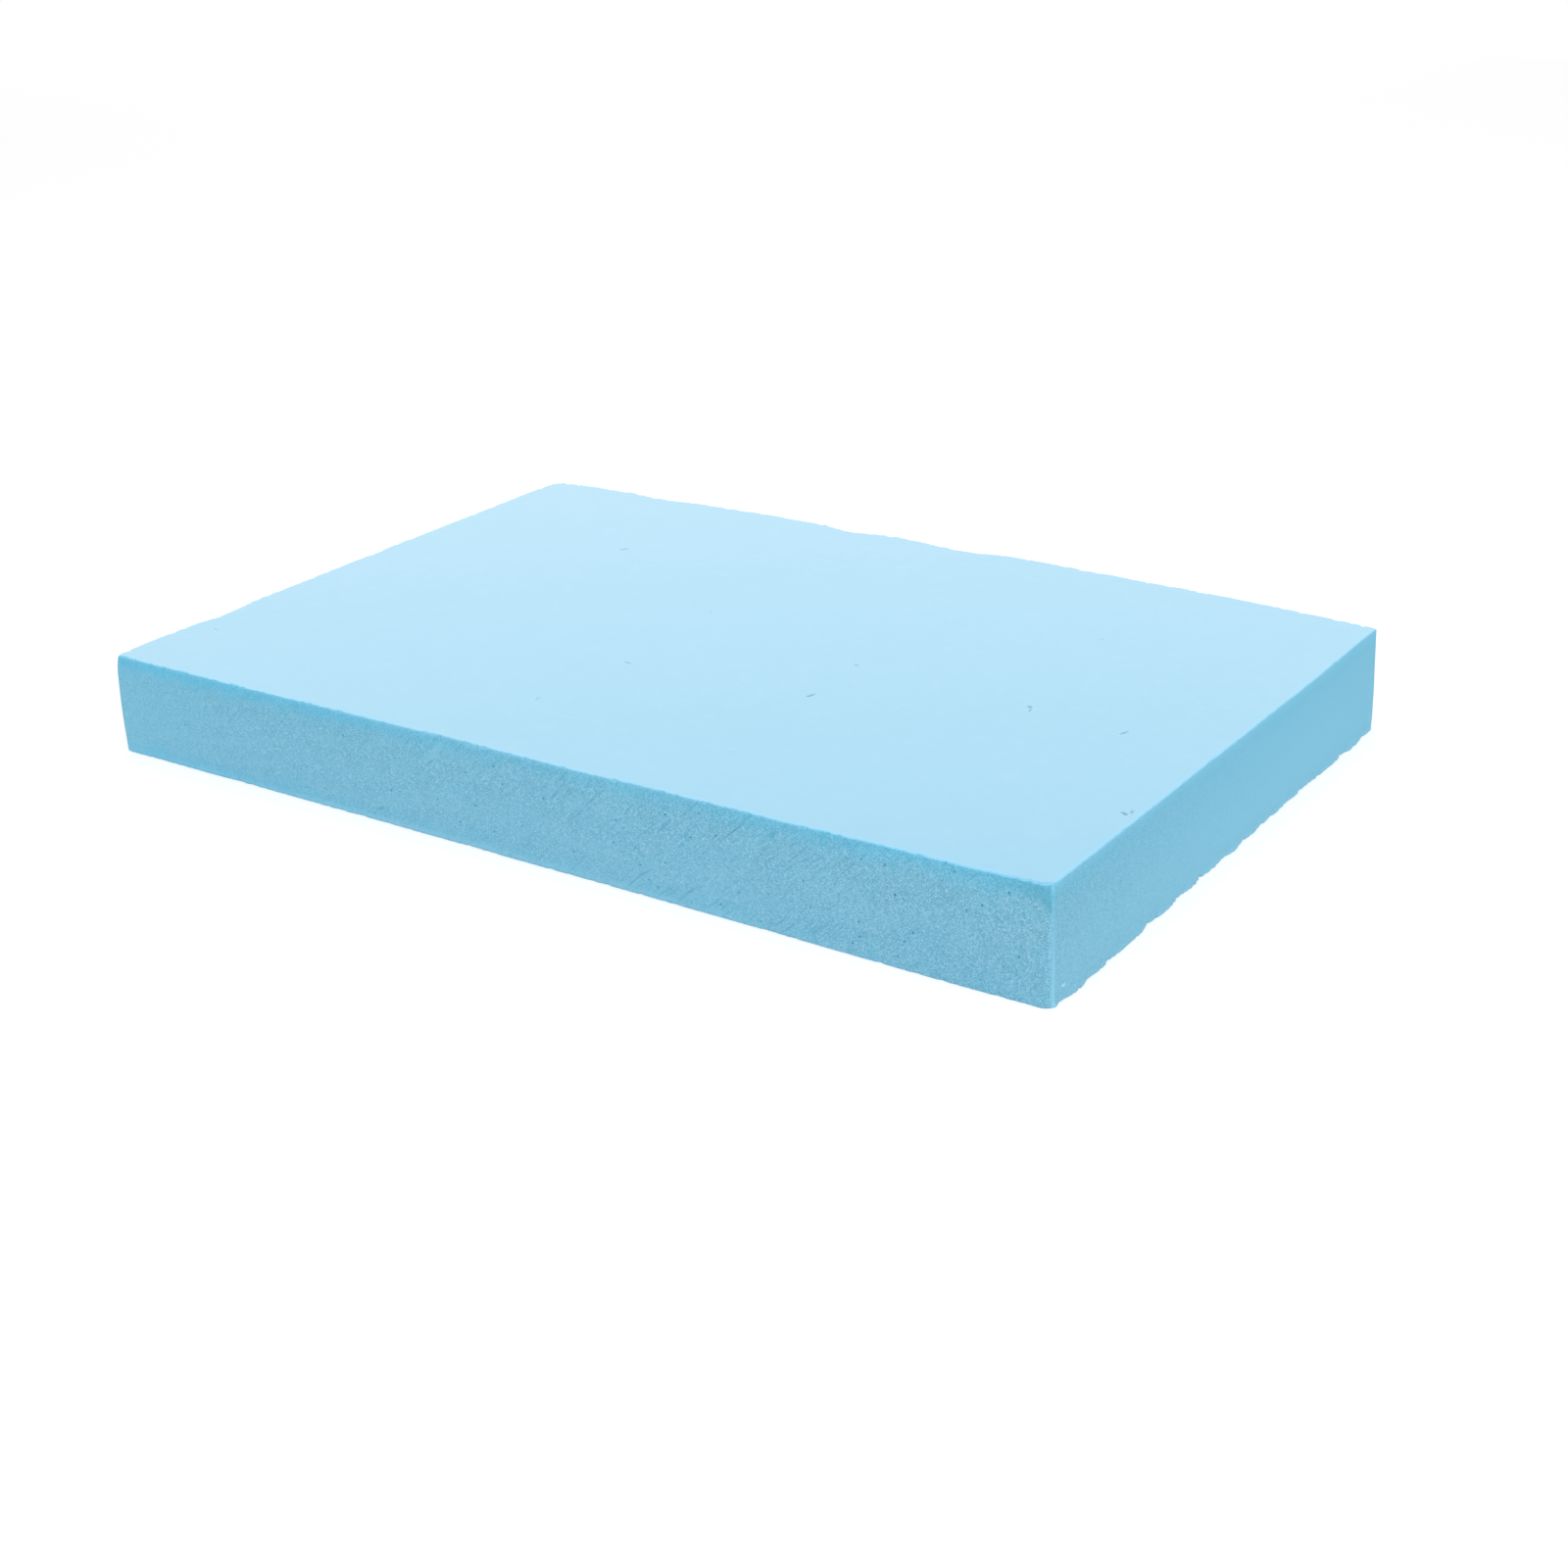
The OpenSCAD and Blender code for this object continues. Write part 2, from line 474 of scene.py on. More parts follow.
BLEMISHES = (
    Blemish((-0.2, -1, 0.66), 45, 9, 2.8, Side.FRONT, "#80c3dc"),
    Blemish((0.724, -1, 0.24), 20, 1.1, 0.8, Side.FRONT, "#2f6c88"),
    Blemish((0.39, -1, 0.45), 40, 0.9, 0.7, Side.FRONT, "#36748f"),
    Blemish((0.34, -1, 0.31), 0, 0.9, 0.7, Side.FRONT, "#437f9b"),
    Blemish((0.705, -1, 0.69), 50, 1.6, 0.6, Side.FRONT, "#437f9b"),
    Blemish((0.66, -1, -0.63), 0, 1.0, 0.7, Side.FRONT, "#437f9b"),
    Blemish((-0.067, -1, 0.68), 0, 0.8, 0.7, Side.FRONT, "#437f9b"),
    Blemish((0.43, -1, 0.66), 43, 10, 0.6, Side.FRONT, "#5c9db9"),
    Blemish((0.24, -1, -0.58), 35, 8, 0.7, Side.FRONT, "#66a8c3"),
    Blemish((0.335, -1, -0.66), 35, 4, 0.8, Side.FRONT, "#66a8c3"),
    Blemish((0.063, -1, 0.45), 50, 5.5, 0.7, Side.FRONT, "#64a6c1"),
    Blemish((-0.34, -1, -0.72), 25, 4, 0.8, Side.FRONT, "#62a4bf"),
    Blemish((-0.21, -1, 0.45), 40, 3, 0.7, Side.FRONT, "#64a6c1"),
    Blemish((1, -0.886, 0.29), 0, 0.7, 0.5, Side.RIGHT, "#3f7d98"),
    Blemish((1, -0.929, -0.72), -5, 2.1, 0.9, Side.RIGHT, "#b5e4f5"),
)


# --- The outline, as packed --------------------------------------------------------------


@dataclass(frozen=True)
class Columns:
    """Where the columns of the sides' grid stand.

    Attributes:
        side: each column's side, as its number in the order of Side.
        share: its share of the way along its side, from 0 to just under 1.
    """

    side: np.ndarray
    share: np.ndarray

    @classmethod
    def spaced(cls, pitch: float, corner_steps: int, corner_reach: float) -> "Columns":
        """Spaces columns evenly, and ever more closely near the upright corners.

        Near a corner, a column's distance from it grows as its number to the power of 1.5.

        Args:
            pitch: spacing along a side, in millimetres.
            corner_steps: columns in the closer spacing at each end of a side.
            corner_reach: how far from a corner they go, in millimetres.

        Returns:
            The columns of all four sides. Each side's first one is on its start corner.
        """
        sides, shares = [], []
        for number, side in enumerate(Side):
            near = corner_reach * np.linspace(0, 1, corner_steps, endpoint=False) ** 1.5
            middle = side.length - 2 * corner_reach
            far = np.linspace(0, middle, round(middle / pitch) + 1) + corner_reach
            run = np.concatenate([near, far, side.length - near[:0:-1]])
            sides.append(np.full(run.shape, number))
            shares.append(run / side.length)
        return cls(np.concatenate(sides), np.concatenate(shares))

    @property
    def place(self) -> np.ndarray:
        """Each column's place along its side, from -1 to 1."""
        return 2 * self.share - 1

    @property
    def length(self) -> np.ndarray:
        """The length of each column's side, in millimetres."""
        return np.array([side.length for side in Side])[self.side]

    def along(self) -> np.ndarray:
        """How far round the block each column is, in millimetres."""
        starts = np.cumsum([0] + [side.length for side in Side])
        return starts[self.side] + self.share * self.length

    def from_corner(self) -> tuple[np.ndarray, np.ndarray]:
        """How far each column is from its side's start and from its end, in millimetres."""
        return self.share * self.length, (1 - self.share) * self.length

    def square(self) -> np.ndarray:
        """The outward direction of each column's side, square to it."""
        return np.array([side.outward for side in Side])[self.side]

    def past(self, corner: int) -> np.ndarray:
        """How far each column is past the corner where a side starts, in millimetres."""
        start = sum(side.length for side in list(Side)[:corner])
        return (self.along() - start + LAP / 2) % LAP - LAP / 2

    def trait(self, name: str) -> np.ndarray:
        """Reads a trait of the saw cuts.

        Args:
            name: the trait's name.

        Returns:
            Its value at each column.
        """
        value = np.zeros(self.share.shape)
        for number, cut in enumerate(CUTS):
            here = self.side == number
            value[here] = cut.trait(name, self.place[here])
        return value


@dataclass(frozen=True)
class Outline:
    """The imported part's outline, from corner to corner at each level that it was lofted by.

    Attributes:
        levels: the heights of the level rings, in millimetres.
        plan: places in plan, by level and column, in millimetres.
    """

    levels: np.ndarray
    plan: np.ndarray

    # Fewest points in a level ring; a nick's own rings have far fewer.
    RING_POINTS = 150
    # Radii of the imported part's top and bottom edges. The levels between them are used.
    TOP_EDGE = 0.8
    FOOT_EDGE = 0.5
    # How far a point may be off its level.
    SLACK = 0.02

    @classmethod
    def read(cls, columns: Columns) -> "Outline":
        """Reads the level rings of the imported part's own mesh.

        Args:
            columns: where each ring is to be sampled.

        Returns:
            The outline at those columns.
        """
        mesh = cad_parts[NODE].data
        flat = np.empty(len(mesh.vertices) * 3, np.float32)
        mesh.vertices.foreach_get("co", flat)
        points = np.unique(np.round(flat.reshape(-1, 3) / MM, 3), axis=0)
        heights, counts = np.unique(np.round(points[:, 2], 2), return_counts=True)
        wall = (heights > cls.FOOT_EDGE - cls.SLACK) & (heights < THICK - cls.TOP_EDGE + cls.SLACK)
        levels = heights[(counts > cls.RING_POINTS) & wall]
        rings = [points[np.abs(points[:, 2] - level) < cls.SLACK, :2] for level in levels]
        return cls(levels, np.array([cls.follow(ring, columns) for ring in rings]))

    @staticmethod
    def follow(ring: np.ndarray, columns: Columns) -> np.ndarray:
        """Follows a level ring from corner to corner.

        Args:
            ring: the ring's points in plan, in any order.
            columns: where the ring is sampled, by share of the length of each side.

        Returns:
            The sampled places.
        """
        ring = ring[np.argsort(np.arctan2(ring[:, 1], ring[:, 0]))]
        corners = [int(np.argmax(ring @ (side.outward - side.forward))) for side in Side]
        ring = np.roll(ring, -corners[0], axis=0)
        marks = [(corner - corners[0]) % len(ring) for corner in corners] + [len(ring)]
        closed = np.vstack([ring, ring[:1]])
        sampled = []
        for number in range(len(Side)):
            line = closed[marks[number] : marks[number + 1] + 1]
            steps = np.linalg.norm(np.diff(line, axis=0), axis=1)
            run = np.concatenate([[0], np.cumsum(steps)])
            place = columns.share[columns.side == number] * run[-1]
            sampled.append(np.stack([np.interp(place, run, axis) for axis in line.T], axis=1))
        return np.concatenate(sampled)

    def at(self, height: np.ndarray) -> np.ndarray:
        """Reads the outline at heights between its levels, and just past them.

        It is the straight mix of the two levels on either side, and runs on straight past
        the first and the last.

        Args:
            height: heights by row and column, in millimetres.

        Returns:
            Places in plan, by row and column.
        """
        last = len(self.levels) - 2
        lower = np.clip(np.searchsorted(self.levels, height) - 1, 0, last)
        gap = self.levels[lower + 1] - self.levels[lower]
        share = ((height - self.levels[lower]) / gap)[..., None]
        column = np.arange(height.shape[1])[None, :]
        return self.plan[lower, column] * (1 - share) + self.plan[lower + 1, column] * share


def outward_of(plan: np.ndarray) -> np.ndarray:
    """The outward direction at each place of closed rings.

    It is the step from the place before to the place after, a quarter turn clockwise.

    Args:
        plan: places in plan, by row and column, counter-clockwise.

    Returns:
        Directions of length 1, in the same shape.
    """
    step = np.roll(plan, -1, axis=1) - np.roll(plan, 1, axis=1)
    turned = np.stack([step[..., 1], -step[..., 0]], axis=-1)
    return turned / np.linalg.norm(turned, axis=-1, keepdims=True)


# --- Finishes ----------------------------------------------------------------------------

# Where a noise's value starts to make a mark, and where it makes it fully.
Span = tuple[float, float]


@dataclass(frozen=True)
class Finish:
    """A finish of the board: a colour and a relief, both worked out on Object coordinates.

    Attributes:
        name: the material's name.
        roughness: how matt it is, from 0 to 1.
        ior: its index of refraction.
        relief: how deep its relief is, in millimetres.
    """

    name: str
    roughness: float
    ior: float
    relief: float

    def material(self) -> bpy.types.Material:
        """Builds the material.

        Returns:
            The material, with its own tree of nodes.
        """
        made = bpy.data.materials.new(self.name)
        tree = emptied(made)
        place = add_node(tree, "TexCoord").outputs["Object"]
        shade, height = self.looks(tree, place)
        bump = add_node(tree, "Bump", {"Height": height, "Distance": self.relief * MM})
        inputs = {
            "Base Color": shade,
            "Roughness": self.roughness,
            "IOR": self.ior,
            "Normal": bump.outputs["Normal"],
        }
        shader = add_node(tree, "BsdfPrincipled", inputs)
        add_node(tree, "OutputMaterial", {"Surface": shader.outputs["BSDF"]})
        return made

    def looks(self, tree: Tree, place: Socket) -> tuple[Socket, Socket]:
        """Draws the finish.

        Args:
            tree: the material's nodes.
            place: Object coordinates.

        Returns:
            The colour, and the height of the relief as a share of its depth.
        """
        raise NotImplementedError

    def laid_on(self, tree: Tree, shade: Socket, marks: tuple[str, ...]) -> Socket:
        """Lays on the colour of each mark, where the mesh's attribute of that name says.

        Args:
            tree: the material's nodes.
            shade: the colour so far.
            marks: the marks, each also the name of the field that holds its colour.

        Returns:
            The new colour.
        """
        nodes = [add_node(tree, "Attribute", attribute_name=mark) for mark in marks]
        amounts = [node.outputs["Fac"] for node in nodes]
        colours = [getattr(self, mark) for mark in marks]
        return layered(tree, shade, list(zip(amounts, colours)))


@dataclass(frozen=True)
class ExtrudedSkin(Finish):
    """Extruded polystyrene, the skin that the die leaves on both faces of the board.

    It gives the eye a pale, even, satin blue with a faint mottle and a soft sheen at a low
    angle. Sizes are in millimetres.
    """

    name: str = "polystyrene_extruded_skin"
    roughness: float = 0.28
    ior: float = 1.59
    relief: float = 0.012
    colour: str = "#7dc0de"
    cloud: str = "#81c3df"
    # Painted shade in the bottoms of the nicks.
    nick_shade: str = "#5f9cb8"
    # Pale colour of the painted highlight on the nicks' lips; the scuffs take it too.
    burr_and_highlight: str = "#c4e6f6"
    # Painted highlight along the top edge of the skin.
    arris_highlight: str = "#79c7e9"
    mottle_size: float = 16
    scuff_size: float = 4
    scuff_span: Span = (0.52, 0.75)
    scuff_most: float = 0.04
    peel_size: float = 1.1

    def looks(self, tree: Tree, place: Socket) -> tuple[Socket, Socket]:
        """Clouds and scuffs the colour, lays on painted shade and highlights, and peels it finely.

        Args:
            tree: the material's nodes.
            place: Object coordinates.

        Returns:
            The colour, and the height of the relief as a share of its depth.
        """
        mottle, scuffs, peel = (
            add_node(tree, "TexNoise", {"Vector": place, "Scale": per(size), "Detail": detail})
            for size, detail in ((self.mottle_size, 3), (self.scuff_size, 4), (self.peel_size, 2))
        )
        start, full = self.scuff_span
        inputs = {"Value": scuffs.outputs["Fac"], "From Min": start, "From Max": full}
        scuffed = add_node(tree, "MapRange", inputs | {"To Max": self.scuff_most})
        layers = [(mottle.outputs["Fac"], self.cloud), (scuffed.outputs["Result"], self.burr_and_highlight)]
        shade = layered(tree, linear(self.colour), layers)
        return self.laid_on(tree, shade, ("nick_shade", "burr_and_highlight", "arris_highlight")), peel.outputs["Fac"]


@dataclass(frozen=True)
class SawMark:
    """One kind of mark that the cut left across the board's thickness.

    Attributes:
        size: its size across X and Y, and up Z, before it is sloped, in millimetres.
        slope: how far it is turned about Y, in degrees.
        start: the value of its noise below which it shows.
        most: how far it deepens the cells, from 0 to 1.
    """

    size: tuple[float, float, float]
    slope: float
    start: float
    most: float

    # How far below its start the noise has to be for the mark to be full.
    EASE = 0.12

    def deepened(self, tree: Tree, grain: Socket, place: Socket, share: Socket) -> Socket:
        """Deepens the cells by noise that is drawn out along the mark.

        Args:
            tree: the material's nodes.
            grain: the cells so far.
            place: Object coordinates.
            share: how far this kind of mark shows.

        Returns:
            The deepened cells.
        """
        turn, size = (0, -radians(self.slope), 0), tuple(side * MM for side in self.size)
        inputs = {"Vector": place, "Rotation": turn, "Scale": size}
        drawn = add_node(tree, "Mapping", inputs, vector_type="TEXTURE")
        noise = add_node(tree, "TexNoise", {"Vector": drawn.outputs[0], "Scale": 1, "Detail": 1})
        inputs = {"From Min": self.start, "From Max": self.start - self.EASE, "To Max": self.most}
        depth = add_node(tree, "MapRange", {"Value": noise.outputs["Fac"]} | inputs)
        inputs = {0: depth.outputs["Result"], 1: share}
        amount = add_node(tree, "Math", inputs, operation="MULTIPLY")
        inputs = {0: grain, 1: amount.outputs[0]}
        return add_node(tree, "Math", inputs, operation="SUBTRACT").outputs[0]


@dataclass(frozen=True)
class SawnCells(Finish):
    """Extruded polystyrene, sawn across, so that its closed cells are cut open.

    It gives the eye a deeper, sandy blue: torn cells show as fine specks of painted shade and
    painted highlight, a few larger ones as pits of painted shade, and the dense board next to
    each face is deeper in colour. The saw's teeth leave slanted rows of deeper cells. Sizes
    are in millimetres. Such board usually has cells of 0.1 to 0.3, and they are drawn near
    the coarse end, so that they show.
    """

    name: str = "polystyrene_sawn_cells"
    roughness: float = 0.7
    ior: float = 1.5
    relief: float = 0.1
    closed: str = "#75beda"
    opened: str = "#7bbcd6"
    rind: str = "#5dbcde"
    foot_rind: str = "#62bbdb"
    crushed: str = "#4d9bb6"
    # Pale colour of the painted light: highlights along the edges and corners, and floor light
    # towards the foot.
    painted_light: str = "#9ed8ee"
    # Painted shade in the bottoms of the cells and in the pits.
    shadow: str = "#1c86a8"
    shadow_most: float = 0.48
    # Painted highlight on the walls of the cells.
    glint: str = "#b4dff3"
    glint_most: float = 0.4
    cell_size: float = 0.27
    # How much of a cell's depth is the slope of its walls, and not its own random depth.
    wall_share: float = 0.3
    speck_size: float = 0.8
    speck_share: float = 0.08
    grain_span: Span = (0.29, 0.71)
    patch_size: float = 5
    patch_span: Span = (0.35, 0.6)
    patch_share: tuple[float, float] = (0.9, 1.04)
    tooth: SawMark = SawMark((6, 6, 0.55), 43, 0.41, 0.6)
    streak: SawMark = SawMark((0.9, 0.9, 12), 0, 0.45, 0.12)
    pit_spacing: float = 4.5
    pit_size: float = 0.42
    # How far in through the side a blemish reaches, and where it starts and is full, as
    # shares of its half length and half width.
    blemish_reach: float = 4
    blemish_span: Span = (1.2, 0.4)

    def looks(self, tree: Tree, place: Socket) -> tuple[Socket, Socket]:
        """Colours the cut board and its marks; its cells are as deep as they are open.

        Args:
            tree: the material's nodes.
            place: Object coordinates.

        Returns:
            The colour, and the height of the relief as a share of its depth.
        """
        opened = self.open_share(tree, place)
        grain = self.saw_marks(tree, self.grain(tree, place), place)
        torn = add_node(tree, "Math", {0: opened, 1: 3.0}, operation="POWER")
        shade = layered(tree, linear(self.closed), [(torn.outputs[0], self.opened)])
        shade = self.laid_on(tree, shade, ("rind", "foot_rind", "crushed"))
        shade = self.specks(tree, shade, grain, opened)
        shade = self.pits(tree, shade, place, opened)
        # Lays on the painted light.
        shade = self.laid_on(tree, shade, ("painted_light",))
        shade = self.blemishes(tree, shade, place)
        depth = add_node(tree, "Math", {0: grain, 1: opened}, operation="MULTIPLY")
        return shade, depth.outputs[0]

    def open_share(self, tree: Tree, place: Socket) -> Socket:
        """Works out how open the cells are: the side's own share, in smooth and torn patches.

        Args:
            tree: the material's nodes.
            place: Object coordinates.

        Returns:
            A value from 0 to 1.
        """
        opened = add_node(tree, "Attribute", attribute_name="open_cells")
        inputs = {"Vector": place, "Scale": per(self.patch_size), "Detail": 2}
        patches = add_node(tree, "TexNoise", inputs)
        ends = ("From Min", "From Max", "To Min", "To Max")
        inputs = dict(zip(ends, self.patch_span + self.patch_share))
        share = add_node(tree, "MapRange", {"Value": patches.outputs["Fac"]} | inputs)
        inputs = {0: opened.outputs["Fac"], 1: share.outputs["Result"]}
        return add_node(tree, "Math", inputs, operation="MULTIPLY", use_clamp=True).outputs[0]

    def grain(self, tree: Tree, place: Socket) -> Socket:
        """Draws the cut cells: each has its own depth and its walls, in soft patches.

        Args:
            tree: the material's nodes.
            place: Object coordinates.

        Returns:
            A value from 0 in a cell's bottom to 1 on its walls.
        """
        cells = add_node(tree, "TexVoronoi", {"Vector": place, "Scale": per(self.cell_size)})
        inputs = {0: self.wall_share, 2: cells.outputs["Color"], 3: cells.outputs["Distance"]}
        walled = add_node(tree, "Mix", inputs, data_type="FLOAT")
        inputs = {"Vector": place, "Scale": per(self.speck_size), "Detail": 2}
        soft = add_node(tree, "TexNoise", inputs)
        inputs = {0: self.speck_share, 2: walled.outputs[0], 3: soft.outputs["Fac"]}
        mixed = add_node(tree, "Mix", inputs, data_type="FLOAT")
        start, full = self.grain_span
        inputs = {"Value": mixed.outputs[0], "From Min": start, "From Max": full}
        return add_node(tree, "MapRange", inputs).outputs["Result"]

    def saw_marks(self, tree: Tree, grain: Socket, place: Socket) -> Socket:
        """Deepens the cells along the marks of the cut.

        They are slanted where the teeth show, and upright streaks elsewhere.

        Args:
            tree: the material's nodes.
            grain: the cut cells.
            place: Object coordinates.

        Returns:
            The deepened cells.
        """
        toothed = add_node(tree, "Attribute", attribute_name="toothed").outputs["Fac"]
        plain = add_node(tree, "Math", {0: 1.0, 1: toothed}, operation="SUBTRACT")
        for mark, share in ((self.tooth, toothed), (self.streak, plain.outputs[0])):
            grain = mark.deepened(tree, grain, place, share)
        return grain

    def specks(self, tree: Tree, shade: Socket, grain: Socket, opened: Socket) -> Socket:
        """Paints shade into the bottoms of the cells, and highlights onto their walls.

        Args:
            tree: the material's nodes.
            shade: the colour so far.
            grain: the cut cells.
            opened: how open the cells are.

        Returns:
            The new colour.
        """
        middle, bottom, wall = 0.5, 0.0, 1.0
        for colour, end, most in (
            (self.shadow, bottom, self.shadow_most),
            (self.glint, wall, self.glint_most),
        ):
            inputs = {"Value": grain, "From Min": middle, "From Max": end, "To Max": most}
            amount = add_node(tree, "MapRange", inputs)
            inputs = {0: amount.outputs["Result"], 1: opened}
            share = add_node(tree, "Math", inputs, operation="MULTIPLY")
            shade = layered(tree, shade, [(share.outputs[0], colour)])
        return shade

    def pits(self, tree: Tree, shade: Socket, place: Socket, opened: Socket) -> Socket:
        """Paints shade into a few larger pits, one to a wide cell.

        Args:
            tree: the material's nodes.
            shade: the colour so far.
            place: Object coordinates.
            opened: how open the cells are.

        Returns:
            The new colour.
        """
        wide = add_node(tree, "TexVoronoi", {"Vector": place, "Scale": per(self.pit_spacing)})
        edge = self.pit_size / 2 / self.pit_spacing
        inputs = {"Value": wide.outputs["Distance"], "From Min": 2 * edge, "From Max": edge}
        pit = add_node(tree, "MapRange", inputs, interpolation_type="SMOOTHSTEP")
        inputs = {0: pit.outputs["Result"], 1: opened}
        share = add_node(tree, "Math", inputs, operation="MULTIPLY")
        return layered(tree, shade, [(share.outputs[0], self.shadow)])

    def blemishes(self, tree: Tree, shade: Socket, place: Socket) -> Socket:
        """Marks each blemish as a soft ellipsoid that reaches in through the side.

        Args:
            tree: the material's nodes.
            shade: the colour so far.
            place: Object coordinates.

        Returns:
            The new colour.
        """
        start, full = self.blemish_span
        layers = []
        for mark in BLEMISHES:
            heading = Vector((*mark.on_side.forward, 0)).to_track_quat("X", "Z").to_euler()
            inputs = {
                "Vector": place,
                "Location": tuple((CENTRE + np.array(mark.place) * HALF) * MM),
                "Rotation": (0, -radians(mark.turn), heading.z),
                "Scale": (mark.length / 2 * MM, self.blemish_reach * MM, mark.width / 2 * MM),
            }
            drawn = add_node(tree, "Mapping", inputs, vector_type="TEXTURE")
            inputs = {0: drawn.outputs["Vector"]}
            reach = add_node(tree, "VectorMath", inputs, operation="LENGTH")
            inputs = {"Value": reach.outputs["Value"], "From Min": start, "From Max": full}
            amount = add_node(tree, "MapRange", inputs, interpolation_type="SMOOTHSTEP")
            layers.append((amount.outputs["Result"], mark.colour))
        return layered(tree, shade, layers)


# --- The block ---------------------------------------------------------------------------


@dataclass
class HandCutBlock:
    """The block: sawn sides on a grid, closed by two extruded faces.

    Sizes are in millimetres.

    Attributes:
        skin: finish of the two extruded faces.
        sawn: finish of the four sawn sides.
        column_pitch: spacing of the grid's columns along a side.
        corner_steps: how many more closely spaced columns each end of a side has.
        corner_reach: how far from the corner they go.
        wall_rows: rows of the grid between the two softened edges.
        wall_grade: how far those rows crowd towards the edges, from 0 to under 1.
        edge_rows: rows round each softened edge.
        face_pitch: spacing of the points inside a face.
        face_margin: how far inside the box those points start.
        rims: how far inside a face's edge the narrow strips along it go.
        nick_pitch: spacing of the points round a nick.
        nick_margin: how far past a nick they go.
        rind_reach: how far down from the top face the dense board shows.
        foot_reach: how far up from the bottom face it shows.
    """

    skin: ExtrudedSkin
    sawn: SawnCells
    column_pitch: float = 0.55
    corner_steps: int = 18
    corner_reach: float = 5
    wall_rows: int = 27
    wall_grade: float = 0.7
    edge_rows: int = 4
    face_pitch: float = 5
    face_margin: float = 8
    rims: tuple[float, ...] = (0.5, 1.3)
    nick_pitch: float = 0.22
    nick_margin: float = 0.8
    rind_reach: float = 4.8
    foot_reach: float = 5

    def build(self) -> bpy.types.Object:
        """Builds and dresses the block.

        Returns:
            The finished object, at the origin.
        """
        columns = Columns.spaced(self.column_pitch, self.corner_steps, self.corner_reach)
        outline = Outline.read(columns)
        places = self.sides(columns, outline)
        marks = self.side_marks(columns, places)
        rows, count = places.shape[:2]
        numbers = np.arange(rows * count).reshape(rows, count)
        after = np.roll(numbers, -1, axis=1)
        quads = np.stack([numbers[:-1], after[:-1], after[1:], numbers[1:]], axis=-1).reshape(-1, 4)
        points = [places.reshape(-1, 3)]
        faces = quads.tolist()
        # Painted shade in the nicks, and a painted highlight on their lips.
        nick_shade, burr_and_highlight = [np.zeros(rows * count)], [np.zeros(rows * count)]
        # Painted highlight along the top edge: a wide rounding spreads it, and so dims it.
        bright_round, dimmest, on_skin = 0.5, 0.4, 0.7
        line = np.clip(bright_round / columns.trait("top_round"), dimmest, 1)
        arris_highlight = [np.outer(np.arange(rows) >= rows - self.edge_rows, line).ravel()]
        for top in (False, True):
            ring = numbers[-1] if top else numbers[0]
            inner, triangles = self.face(places[-1 if top else 0], top)
            known = np.concatenate([ring, sum(map(len, points)) + np.arange(len(inner))])
            faces += known[triangles].tolist()
            points.append(inner)
            nick_shade.append(self.nick_mark(inner, "nick_shade") * top)
            burr_and_highlight.append(self.nick_mark(inner, "burr_and_highlight") * top)
            arris_highlight.append(np.pad(on_skin * line * top, (0, len(inner) - count)))
        marks["nick_shade"], marks["burr_and_highlight"] = np.concatenate(nick_shade), np.concatenate(burr_and_highlight)
        marks["arris_highlight"] = np.concatenate(arris_highlight)
        held = np.clip(np.concatenate(points), LOW, HIGH) * MM
        mesh = bpy.data.meshes.new("hand_cut_block")
        mesh.from_pydata(held.tolist(), [], faces)
        mesh.validate()
        for name, values in marks.items():
            mark = mesh.attributes.new(name, "FLOAT", "POINT")
            full = np.zeros(len(held), np.float32)
            full[: len(values)] = values
            mark.data.foreach_set("value", full)
        self.dress(mesh, len(quads), count)
        block = bpy.data.objects.new("hand_cut_block", mesh)
        bpy.context.scene.collection.objects.link(block)
        return block

    def heights(self, columns: Columns) -> tuple[np.ndarray, np.ndarray]:
        """Spaces the rows up the sides.

        Round an edge of radius r, a row at a turn from the face's plane is r less r times
        the turn's sine from the face, and is drawn in by r less r times its cosine. Up the
        wall, a row's share of the height is its number's share, less a sine that crowds
        the rows towards both edges.

        Args:
            columns: the grid's columns.

        Returns:
            The height of each row at each column, and how far it is drawn in.
        """
        top_r, foot_r = columns.trait("top_round"), columns.trait("foot_round")
        turns = np.radians(np.linspace(90, 0, self.edge_rows, endpoint=False))[:, None]
        from_face, drawn_in = 1 - np.sin(turns), 1 - np.cos(turns)
        even = np.linspace(0, 1, self.wall_rows)[:, None]
        wall = even - self.wall_grade * np.sin(2 * np.pi * even) / (2 * np.pi)
        height = [
            foot_r * from_face,
            foot_r + (THICK - top_r - foot_r) * wall,
            THICK - (top_r * from_face)[::-1],
        ]
        inset = [foot_r * drawn_in, 0 * wall * foot_r, (top_r * drawn_in)[::-1]]
        return np.concatenate(height), np.concatenate(inset)

